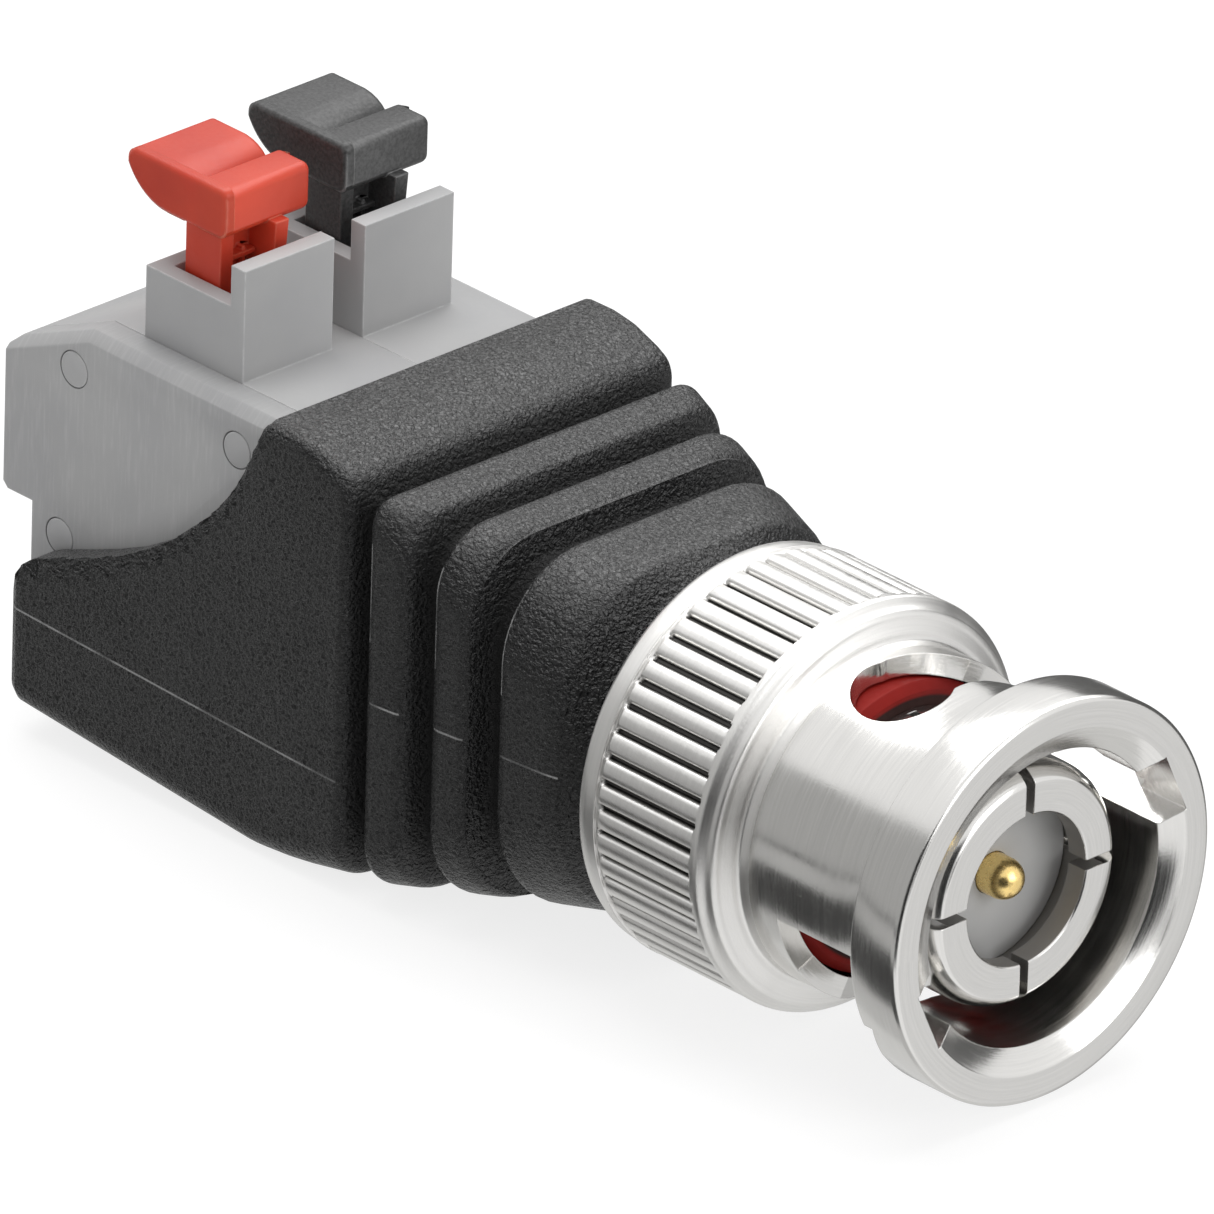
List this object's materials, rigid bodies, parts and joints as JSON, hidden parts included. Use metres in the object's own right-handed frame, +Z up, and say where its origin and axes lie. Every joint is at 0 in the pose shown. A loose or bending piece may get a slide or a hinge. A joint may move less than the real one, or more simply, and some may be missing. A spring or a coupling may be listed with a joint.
{
  "type": "bayonet coaxial plug with push-lever wire terminal",
  "caption": "Straight bayonet coaxial plug on a ribbed moulded shell, with side by side spring clamp wire entries opened by red and black push levers.",
  "frame": {"origin": "on the plug's axis, halfway along the plain outside of the spring fingers", "axes": "+X along the plug's axis out of the mouth, +Z up towards the push levers, +Y from the red lever's way to the black lever's way"},
  "size_m": [0.0413, 0.014, 0.0199],
  "materials": {
    "nickel": "bright nickel plate with fine turning lines",
    "spring_steel": "plain rolled spring steel",
    "gasket_rubber": "soft matt silicone rubber",
    "dielectric_plastic": "plain turned plastic",
    "gold": "thin gold plate",
    "shell_plastic": "fine leathery grain",
    "block_plastic": "smooth moulded, faintly scratched",
    "red_plastic": "smooth moulded, slightly glossy",
    "black_plastic": "smooth moulded, slightly worn",
    "contact_tin": "tin plate",
    "wire_copper": "bare tinned copper",
    "sleeving_plastic": "thin heat-shrunk sleeve",
    "solder": "soft solder, slightly dull"
  },
  "bodies": {
    "plug": {"outer_conductor": "nickel", "retaining_clip": "spring_steel", "front_washer": "spring_steel", "wave_washer": "spring_steel", "gasket": "gasket_rubber", "dielectric": "dielectric_plastic", "rear_insulator": "dielectric_plastic", "centre_pin": "gold", "shell": "shell_plastic", "end_cover": "block_plastic", "signal_housing": "block_plastic", "ground_housing": "block_plastic", "signal_contact": "contact_tin", "ground_contact": "contact_tin", "signal_spring": "spring_steel", "ground_spring": "spring_steel", "signal_wire": "wire_copper", "ground_wire": "wire_copper", "signal_sleeving": "sleeving_plastic", "solder_joints": "solder"},
    "take_up": {"rear_washer": "spring_steel"},
    "coupling": {"coupling_sleeve": "nickel"},
    "red_lever": {"signal_lever": "red_plastic"},
    "black_lever": {"ground_lever": "black_plastic"}
  },
  "joints": [
    {"name": "coupling_take_up", "type": "slide", "parent": "plug", "child": "take_up", "axis": [1, 0, 0], "range_m": [0, 0.0004], "stiffness_N_per_m": 12000, "springref_m": -0.0003, "deforming": ["wave_washer"]},
    {"name": "coupling_spin", "type": "hinge", "parent": "take_up", "child": "coupling", "pos_m": [0, 0, 0], "axis": [1, 0, 0], "continuous": true},
    {"name": "red_lever_press", "type": "slide", "parent": "plug", "child": "red_lever", "axis": [0, 0, -1], "range_m": [0, 0.0015], "stiffness_N_per_m": 3000, "springref_m": -0.001, "deforming": ["signal_spring"]},
    {"name": "black_lever_press", "type": "slide", "parent": "plug", "child": "black_lever", "axis": [0, 0, -1], "range_m": [0, 0.0015], "stiffness_N_per_m": 3000, "springref_m": -0.001, "deforming": ["ground_spring"]}
  ]
}
